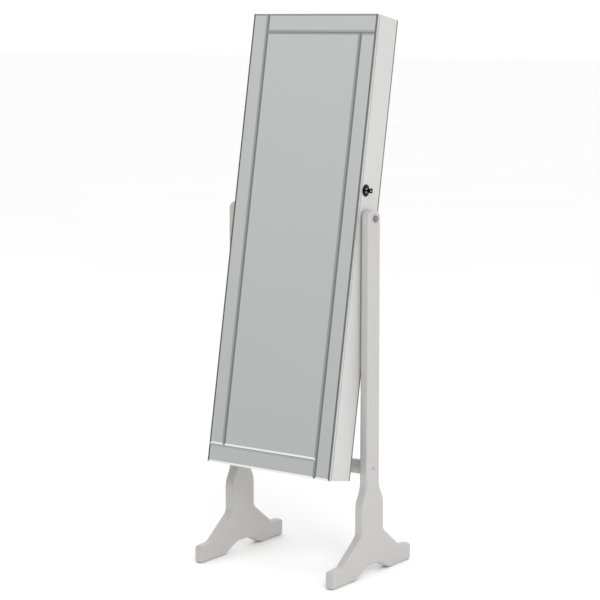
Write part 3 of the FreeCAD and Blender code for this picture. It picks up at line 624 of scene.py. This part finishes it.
def padded_roll_profile(half, radius, crown, gather):
    """Profile of a stuffed roll: gathered ends, a soft shoulder and a slight crown."""
    points = [(-half + gather * 0.15, 0.0), (-half + gather * 0.1, radius * 0.25),
              (-half, radius * 0.55)]
    points += [(-half + gather * 0.12, radius * 0.80), (-half + gather * 0.45, radius * 0.94)]
    spans = 16
    for i in range(spans + 1):
        t = i / spans
        x = (-half + gather) + (2 * half - 2 * gather) * t
        points.append((x, radius - crown + crown * math.sin(math.pi * t)))
    points += [(-x, r) for x, r in reversed(points[:5])]
    return points


def make_rolls(sizes, velvet):
    """Velvet rolls between which rings are pressed."""
    bm = bmesh.new()
    for low, high in island_boxes("ring_rolls"):
        centre, radius = (low + high) / 2, (high.z - low.z) / 2
        profile = padded_roll_profile((high.x - low.x) / 2, radius, sizes.roll_crown,
                                      sizes.gather)
        add_to(bm, turned(profile, sizes.round_steps // 2, Matrix.Translation(centre)))
    for vert in bm.verts:
        vert.co.y += sum(math.sin(vert.co.x * rate) * height for rate, height in ROLL_RIPPLES)
    piece = finish_mesh(bm, "velvet_ring_rolls", velvet, "cabinet")
    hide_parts("ring_rolls")


def make_bracelet_bar(sizes, velvet):
    """Padded velvet bar for bracelets and watches."""
    low, high = upright_box("bracelet_rod")
    centre, radius = (low + high) / 2, (high.z - low.z) / 2
    profile = padded_roll_profile((high.x - low.x) / 2, radius, sizes.roll_crown, sizes.gather)
    bm = turned(profile, sizes.round_steps, Matrix.Translation(centre))
    piece = finish_mesh(bm, "velvet_bracelet_bar", velvet, "cabinet")
    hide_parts("bracelet_rod")


def wire_hook(root, reach, tip, radius, bend, towards):
    """Bent wire hook with a rosette: out along Y (towards is -1 for the front), then up."""
    bm = bmesh.new()
    ring = bmesh.ops.create_circle(bm, cap_ends=True, radius=radius, segments=12)["verts"]
    bmesh.ops.rotate(bm, verts=ring, cent=(0, 0, 0), matrix=Matrix.Rotation(math.pi / 2, 3, "X"))
    bmesh.ops.translate(bm, verts=ring, vec=(0, -HOOK_SHANK * towards, 0))
    face = bm.faces[:]
    straight = reach - bend
    arm = bmesh.ops.extrude_face_region(bm, geom=face)
    moved = [g for g in arm["geom"] if isinstance(g, bmesh.types.BMVert)]
    bmesh.ops.translate(bm, verts=moved, vec=(0, (straight + HOOK_SHANK) * towards, 0))
    cap = [g for g in arm["geom"] if isinstance(g, bmesh.types.BMFace)]
    elbow = bmesh.ops.spin(bm, geom=cap, cent=(0, straight * towards, bend), axis=(1, 0, 0),
                           dvec=(0, 0, 0), angle=math.pi / 2 * towards, steps=8)
    end = [g for g in elbow["geom_last"] if isinstance(g, bmesh.types.BMFace)]
    rise = bmesh.ops.extrude_face_region(bm, geom=end)
    moved = [g for g in rise["geom"] if isinstance(g, bmesh.types.BMVert)]
    bmesh.ops.translate(bm, verts=moved, vec=(0, 0, tip - bend))
    bmesh.ops.remove_doubles(bm, verts=bm.verts, dist=1e-7)
    ball = bmesh.ops.create_uvsphere(bm, u_segments=14, v_segments=8, radius=radius * 1.35)
    bmesh.ops.translate(bm, verts=ball["verts"], vec=(0, reach * towards, tip))
    thick = radius * 0.7
    rosette = [(0.0, 0.0), (0.0, radius * 2.4), (thick, radius * 2.2), (thick * 1.3, radius)]
    facing = Matrix.Rotation(math.pi / 2 * towards, 4, "Z")
    add_to(bm, turned(rosette, 24, facing))
    bmesh.ops.translate(bm, verts=bm.verts, vec=root)
    return bm


def make_hooks(name, node_name, rail_name, body, towards, sizes, nickel):
    """Row of wire hooks, one for each hook in the CAD node."""
    rail = upright_box(rail_name)
    face = rail[0].y if towards < 0 else rail[1].y
    bm = bmesh.new()
    for low, high in island_boxes(node_name):
        radius = (high.x - low.x) / 2
        outer = low.y if towards < 0 else high.y
        reach = abs(outer - face) - radius
        root = Vector(((low.x + high.x) / 2, face, low.z + radius))
        add_to(bm, wire_hook(root, reach, high.z - low.z - radius * 2.4, radius,
                             min(sizes.hook_bend, reach * 0.5), towards))
    piece = finish_mesh(bm, name, nickel, body)
    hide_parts(node_name)


def make_keyhole_plate(sizes, bronze):
    """Round dark plate with a raised rim, and the dark collar of the lock inside it."""
    low, high = upright_box("lock_escutcheon")
    centre = (low + high) / 2
    radius, thick = (high.z - low.z) / 2, high.x - low.x
    flange_low, flange_high = upright_box("lock_barrel")
    inner = (flange_high.z - flange_low.z) / 2
    place = Matrix.Translation((low.x, centre.y, centre.z))
    rim = sizes.plate_rim
    profile = [(0.0, inner * 0.85), (0.0, radius), (thick * 0.55, radius)]
    profile += [(thick, radius - rim * 0.35), (thick, radius - rim * 0.8),
                (thick * 0.6, radius - rim), (thick * 0.6, inner + 0.0012),
                (thick, inner + 0.0004), (thick, inner * 0.85), (0.0, inner * 0.85)]
    bm = turned(profile, sizes.round_steps, place)
    piece = finish_mesh(bm, "keyhole_plate", bronze, "cabinet")
    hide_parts("lock_escutcheon")
    plug_low, plug_high = upright_box("lock_plug")
    bore = (plug_high.z - plug_low.z) / 2 + PLUG_FIT
    face, seat = flange_high.x, high.x
    profile = [(flange_low.x, bore), (flange_low.x, BARREL_R), (seat, BARREL_R), (seat, inner)]
    profile += [(seat + (face - seat) * 0.5, inner), (face - 0.0002, inner * 0.92),
                (face, inner * 0.84), (face, bore * 1.18), (face - 0.0006, bore),
                (flange_low.x, bore)]
    bm = turned(profile, sizes.round_steps, Matrix.Translation((0.0, centre.y, centre.z)))
    piece = finish_mesh(bm, "lock_collar_and_barrel", bronze, "cabinet")
    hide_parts("lock_barrel")


def flag_bow(x0, x1, near, far, thick, hole_x, hole, centre_y, centre_z):
    """Flat bow that widens away from the blade, with rounded corners and a hole."""
    bm = bmesh.new()
    steps = 48
    outer = bmesh.ops.create_circle(bm, radius=1.0, segments=steps)["verts"]
    inner = bmesh.ops.create_circle(bm, radius=hole, segments=steps)["verts"]
    for vert in outer:
        x, y = (math.copysign(abs(c) ** 0.45, c) for c in vert.co.xy)
        vert.co = ((x0 + x1) / 2 + (x1 - x0) / 2 * x,
                   y * (near + (far - near) * (x + 1) / 2), 0.0)
    bmesh.ops.translate(bm, verts=inner, vec=(hole_x, 0, 0))
    flat = bmesh.ops.bridge_loops(bm, edges=bm.edges[:])["faces"]
    raised = bmesh.ops.extrude_face_region(bm, geom=flat)["geom"]
    verts = [g for g in raised if isinstance(g, bmesh.types.BMVert)]
    bmesh.ops.translate(bm, verts=verts, vec=(0, 0, thick))
    rims = [e for e in bm.edges if len(e.link_faces) == 2 and e.calc_face_angle(0) > 1.0]
    bmesh.ops.bevel(bm, geom=rims, offset=thick * 0.25, segments=2, affect="EDGES", profile=0.5,
                    material=-1)
    bmesh.ops.translate(bm, verts=bm.verts, vec=(0, 0, -thick / 2))
    bmesh.ops.rotate(bm, verts=bm.verts, cent=(0, 0, 0),
                     matrix=Matrix.Rotation(math.pi / 2, 3, "X"))
    bmesh.ops.translate(bm, verts=bm.verts, vec=(0, centre_y, centre_z))
    return bm


def make_key(sizes, bronze):
    """Flat key: a bow that widens like a flag, a collar and a blade with cuts."""
    low, high = upright_box("key")
    thick = high.y - low.y
    face = upright_box("lock_barrel")[1].x
    centre_y, centre_z = (low.y + high.y) / 2, (low.z + high.z) / 2
    neck = face + KEY_NECK
    far = (high.z - low.z) / 2
    bm = flag_bow(neck, high.x, far * 0.6, far, thick, neck + KEY_HOLE_IN, KEY_HOLE_R,
                  centre_y, centre_z)
    blade = bmesh.new()
    bmesh.ops.create_cube(blade, size=1.0)
    end = neck + 0.0015
    bmesh.ops.scale(blade, verts=blade.verts, vec=(end - low.x, thick * 0.96, KEY_BLADE))
    cuts = [e for e in blade.edges if abs((e.verts[0].co - e.verts[1].co).x) > 0.001]
    bmesh.ops.subdivide_edges(blade, edges=cuts, cuts=KEY_CUTS, use_grid_fill=True)
    bmesh.ops.translate(blade, verts=blade.verts, vec=((end + low.x) / 2, centre_y, centre_z))
    step = (end - low.x) / (KEY_CUTS + 1)
    for vert in blade.verts:
        index = round((vert.co.x - low.x) / step)
        if vert.co.z < centre_z and index in KEY_BITES:
            vert.co.z += KEY_BITES[index]
    add_to(bm, blade)
    collar = [(0.0, 0.0), (0.0, thick * 1.2), (0.0006, thick * 1.5), (0.0018, thick * 1.5),
              (0.0024, thick * 1.2), (0.0024, 0.0)]
    add_to(bm, turned(collar, 24, Matrix.Translation((face + 0.0008, centre_y, centre_z))))
    piece = finish_mesh(bm, "flat_key", bronze, "key")
    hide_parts("key")


def make_knob(side, sizes, plastic):
    """Round clamp knob with finger scallops and a domed cap."""
    node_name = side + "_clamp_knob"
    low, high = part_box(node_name)
    sign = 1 if side == "right" else -1
    radius, thick = (high.z - low.z) / 2, high.x - low.x
    centre = (low + high) / 2
    base = low.x if sign > 0 else high.x
    profile = [(0.0, radius * 0.45), (0.0, radius * 0.92), (thick * 0.08, radius)]
    profile += [(thick * t, radius) for t in (0.2, 0.35, 0.5, 0.6)]
    dome = 8
    for i in range(dome + 1):
        angle = math.pi / 2 * i / dome
        profile.append((thick * (0.68 + 0.27 * math.sin(angle)),
                        radius * (0.25 + 0.75 * math.cos(angle))))
    profile += [(thick * 0.95, radius * 0.25), (thick, radius * 0.18), (thick, 0.0)]
    bm = turned(profile, sizes.round_steps * 2, Matrix.Identity(4))
    for vert in bm.verts:
        reach = math.hypot(vert.co.y, vert.co.z)
        if reach < radius * 0.8 or not thick * 0.05 < vert.co.x < thick * 0.8:
            continue
        around = math.atan2(vert.co.z, vert.co.y)
        dip = max(0.0, math.cos(KNOB_LOBES * around)) ** 3 * radius * 0.09
        vert.co.y *= 1 - dip / reach
        vert.co.z *= 1 - dip / reach
    bmesh.ops.scale(bm, verts=bm.verts, vec=(sign, 1, 1))
    bmesh.ops.translate(bm, verts=bm.verts, vec=(base, centre.y, centre.z))
    piece = finish_mesh(bm, "scalloped_knob_" + side, plastic, side + "_clamp",
                        leaning=False)
    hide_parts(node_name)


def screw(radius, height, dome, shank, tail, recess, lobes):
    """Turned screw with the top of its head at 0; lobes 6 is a hex socket, 4 a cross.

    A dome of 0 gives a countersunk head.
    """
    profile = [(-tail, 0.0), (-tail, shank * 0.6), (-tail + shank * 0.6, shank), (-height, shank)]
    if dome:
        profile += [(-height, radius), (-height * dome, radius)]
        for i in range(1, 7):
            angle = math.pi / 2 * i / 6
            profile.append((height * dome * (math.sin(angle) - 1),
                            radius * (0.72 + 0.28 * math.cos(angle))))
    else:
        profile += [(-0.0002, radius), (0.0, radius * 0.98)]
    depth = height * 0.65
    profile += [(0.0, recess), (-depth, recess * 0.96), (-depth, 0.0)]
    bm = turned(profile, 48, Matrix.Identity(4))
    for vert in bm.verts:
        reach = math.hypot(vert.co.y, vert.co.z)
        if reach > recess * 1.01 or reach < 1e-7 or vert.co.x < -depth * 1.01:
            continue
        around = math.atan2(vert.co.z, vert.co.y)
        if lobes == 6:
            wedge = (around % (math.pi / 3)) - math.pi / 6
            factor = 0.87 / math.cos(wedge)
        else:
            factor = 0.30 + 0.70 * abs(math.cos(2 * around)) ** 6
        vert.co.y *= factor
        vert.co.z *= factor
    return bm


def make_screws(name, node_name, material, height, shank, recess, lobes, dome):
    """Screws of the stand, one for each in the CAD node, their heads with real recesses."""
    bm = bmesh.new()
    for low, high in island_boxes(node_name, upright=False):
        centre = (low + high) / 2
        sign = 1 if centre.x > 0 else -1
        outer = high.x if sign > 0 else low.x
        radius = (high.z - low.z) / 2
        made = screw(radius, height, dome, shank, high.x - low.x, radius * recess, lobes)
        bmesh.ops.scale(made, verts=made.verts, vec=(sign, 1, 1))
        bmesh.ops.translate(made, verts=made.verts, vec=(outer, centre.y, centre.z))
        add_to(bm, made)
    piece = finish_mesh(bm, name, material, "stand", leaning=False)
    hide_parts(node_name)


# ---------------------------------------------------------------- operators


class ARMOIRE_OT_stand(bpy.types.Operator):
    """Paint the posts, feet and cross rail"""
    bl_idname = "armoire.stand"
    bl_label = "Stand"

    def execute(self, context):
        finish, _, _ = settings()
        paint = paint_material("silver_stand", finish.stand_paint, finish.paint_roughness,
                               False)[0]
        wear(STAND, paint)
        return {"FINISHED"}


class ARMOIRE_OT_cabinet(bpy.types.Operator):
    """Paint the cabinet's boards and line its inside"""
    bl_idname = "armoire.cabinet"
    bl_label = "Cabinet"

    def execute(self, context):
        finish, _, _ = settings()
        wear(CARCASS, carcass_material(finish))
        back = paint_material("grey_back", finish.back_paint, finish.paint_roughness + 0.1,
                              True)[0]
        wear(["cabinet_back"], back)
        wear(["cabinet_dowels"], dowel_material())
        return {"FINISHED"}


class ARMOIRE_OT_mirrors(bpy.types.Operator):
    """Silver the centre mirror and its border, and paint the door behind them"""
    bl_idname = "armoire.mirrors"
    bl_label = "Mirrors and door"

    def execute(self, context):
        finish, _, _ = settings()
        wear(GLASS, mirror_material(finish))
        wear(["door_panel"], paint_material("silver_door", finish.paint, finish.paint_roughness,
                                            True)[0])
        return {"FINISHED"}


class ARMOIRE_OT_fittings(bpy.types.Operator):
    """Line and furnish the inside: velvet, lacquered boards, rolls, bar and hooks"""
    bl_idname = "armoire.fittings"
    bl_label = "Inner fittings"

    def execute(self, context):
        finish, sizes, _ = settings()
        velvet = velvet_material(finish)
        nickel = metal_material("bright_nickel", finish.nickel, 0.22)
        wear(["back_lining", "door_lining"], velvet)
        wear(INNER_BOARDS, lacquer_material(finish))
        make_rolls(sizes, velvet)
        make_bracelet_bar(sizes, velvet)
        make_hooks("necklace_wire_hooks", "necklace_hooks", "necklace_hook_rail", "cabinet", -1,
                   sizes, nickel)
        make_hooks("door_wire_hooks", "door_hooks", "door_hook_rail", "door", 1, sizes, nickel)
        return {"FINISHED"}


class ARMOIRE_OT_hardware(bpy.types.Operator):
    """Lock, key, knobs, screws, hinges, catches and glides"""
    bl_idname = "armoire.hardware"
    bl_label = "Hardware"

    def execute(self, context):
        finish, sizes, _ = settings()
        nickel = metal_material("lock_nickel", finish.nickel, 0.26)
        zinc = metal_material("zinc_plate", finish.zinc, 0.36, 1800.0)
        bronze = metal_material("dark_bronze", finish.bronze, 0.34, 1200.0)
        knob = moulded_material("grey_knob_plastic", finish.knob, 0.42)
        wear(BRIGHT_METAL, nickel)
        wear(ZINC, zinc)
        make_keyhole_plate(sizes, bronze)
        make_key(sizes, bronze)
        for side in ("right", "left"):
            make_knob(side, sizes, knob)
        make_screws("domed_rail_bolts", "cross_rail_bolts", zinc, height=0.0022, shank=0.003,
                    recess=0.46, lobes=6, dome=0.7)
        make_screws("sunk_foot_screws", "foot_screws", zinc, height=0.0023, shank=0.0022,
                    recess=0.62, lobes=4, dome=0.0)
        wear(["foot_glides", "friction_washers"],
             moulded_material("pale_nylon", (0.62, 0.62, 0.60), 0.55))
        wear(["magnetic_catches", "door_bumpers"],
             moulded_material("black_plastic", (0.016, 0.016, 0.017), 0.5))
        return {"FINISHED"}


class ARMOIRE_OT_stage(bpy.types.Operator):
    """Pale floor, soft lights, a plain surround and the camera"""
    bl_idname = "armoire.stage"
    bl_label = "Stage"

    def execute(self, context):
        _, _, stage = settings()
        scene = context.scene
        scene.view_settings.view_transform = "Standard"
        make_floor(stage)
        make_lights(stage)
        make_surround(stage)
        make_camera(stage)
        return {"FINISHED"}


def plain_sheet(name, size, place, material):
    """Square stage surface."""
    bm = bmesh.new()
    bmesh.ops.create_grid(bm, x_segments=1, y_segments=1, size=size / 2)
    bmesh.ops.transform(bm, matrix=place, verts=bm.verts)
    mesh = bpy.data.meshes.new(name)
    bm.to_mesh(mesh)
    bm.free()
    mesh.materials.append(material)
    made = bpy.data.objects.new(name, mesh)
    bpy.context.scene.collection.objects.link(made)
    return made


def make_floor(stage):
    """Pale floor that runs to the horizon."""
    material, tree, shader, vector = start_material("studio_floor", {"Roughness": 0.75})
    clouds = group(tree, "Mottle", {"Vector": vector}, Color=solid(stage.floor_tone), Scale=0.8,
                   Depth=0.02)
    link(tree, clouds.outputs["Color"], shader.inputs["Base Color"])
    plain_sheet("floor", FLOOR_SIZE, Matrix.Identity(4), material)


def place_lamp(lamp, spot, rotation):
    """Puts a lamp in the scene, unseen in the mirrors."""
    made = bpy.data.objects.new(lamp.name, lamp)
    made.location = spot
    made.rotation_euler = rotation
    made.visible_glossy = False
    bpy.context.scene.collection.objects.link(made)


def make_lights(stage):
    """Large key light on the right, weak fill on the left and an even light from above."""
    for name, power, size, spot, aim in (
            ("key_light", stage.key_power, KEY_LIGHT_SIZE, KEY_LIGHT_SPOT, KEY_LIGHT_AIM),
            ("fill_light", stage.fill_power, FILL_LIGHT_SIZE, FILL_LIGHT_SPOT,
             FILL_LIGHT_AIM)):
        lamp = bpy.data.lights.new(name, "AREA")
        lamp.energy = power
        lamp.size = size
        aimed = (Vector(aim) - Vector(spot)).to_track_quat("-Z", "Y").to_euler()
        place_lamp(lamp, spot, aimed)
    lamp = bpy.data.lights.new("ceiling", "SUN")
    lamp.energy = stage.ceiling_power
    lamp.angle = CEILING_ANGLE
    place_lamp(lamp, CEILING_PLACE, (0.0, 0.0, 0.0))


def make_surround(stage):
    """White studio behind the armoire, shading to the grey walls that its mirror faces."""
    world = bpy.data.worlds.new("studio")
    world.use_nodes = True
    tree = world.node_tree
    direction = node(tree, "ShaderNodeTexCoord")
    split = node(tree, "ShaderNodeSeparateXYZ")
    link(tree, direction.outputs["Generated"], split.inputs[0])
    behind = spread(tree, split.outputs[1], -0.35, 0.25)
    above = spread(tree, split.outputs[2], 0.52, 0.90)
    open_sky = maths(tree, "MAXIMUM", behind, above)
    walls = stage.front_sky
    for axis, start, end, first, last in WALL_SHADES:
        shade = spread(tree, split.outputs[axis], start, end, first, last)
        walls = maths(tree, "MULTIPLY", shade, walls)
    tone = node(tree, "ShaderNodeMix", {"B": stage.back_sky})
    link(tree, open_sky, tone.inputs["Factor"])
    link(tree, walls, tone.inputs["A"])
    link(tree, tone.outputs[0], tree.nodes["Background"].inputs["Strength"])
    tree.nodes["Background"].inputs["Color"].default_value = (1.0, 1.0, 1.0, 1.0)
    bpy.context.scene.world = world


def make_camera(stage):
    """Camera in front and to the right of the armoire, looking slightly down at it."""
    camera = bpy.data.cameras.new("camera")
    camera.lens = stage.lens
    camera.sensor_width = 36.0
    made = bpy.data.objects.new("camera", camera)
    made.location = CAMERA_PLACE
    made.rotation_euler = (math.pi / 2 - CAMERA_PITCH, 0.0, CAMERA_YAW)
    bpy.context.scene.collection.objects.link(made)
    bpy.context.scene.camera = made


class ARMOIRE_PT_panel(bpy.types.Panel):
    """Sizes, colours and building steps of the armoire"""
    bl_idname = "ARMOIRE_PT_panel"
    bl_label = "Jewelry armoire"
    bl_space_type = "VIEW_3D"
    bl_region_type = "UI"
    bl_category = "Armoire"

    def draw(self, context):
        layout = self.layout
        for holder in settings():
            box = layout.box()
            for name in holder.bl_rna.properties.keys():
                if name not in ("rna_type", "name"):
                    box.prop(holder, name)
        for operator in STEPS:
            layout.operator(operator.bl_idname)


STEPS = (ARMOIRE_OT_stand, ARMOIRE_OT_cabinet, ARMOIRE_OT_mirrors, ARMOIRE_OT_fittings,
         ARMOIRE_OT_hardware, ARMOIRE_OT_stage)
GROUPS = {"armoire_finish": ArmoireFinish, "armoire_sizes": ArmoireSizes,
          "armoire_stage": ArmoireStage}


def register():
    for holder in (*GROUPS.values(), *STEPS, ARMOIRE_PT_panel):
        bpy.utils.register_class(holder)
    for name, holder in GROUPS.items():
        setattr(bpy.types.Scene, name, PointerProperty(type=holder))


def unregister():
    for name in GROUPS:
        delattr(bpy.types.Scene, name)
    for holder in reversed((*GROUPS.values(), *STEPS, ARMOIRE_PT_panel)):
        bpy.utils.unregister_class(holder)


def main():
    register()
    for operator in STEPS:
        family, step = operator.bl_idname.split(".")
        getattr(getattr(bpy.ops, family), step)()
    bpy.context.view_layer.update()


if __name__ == "__main__":
    main()
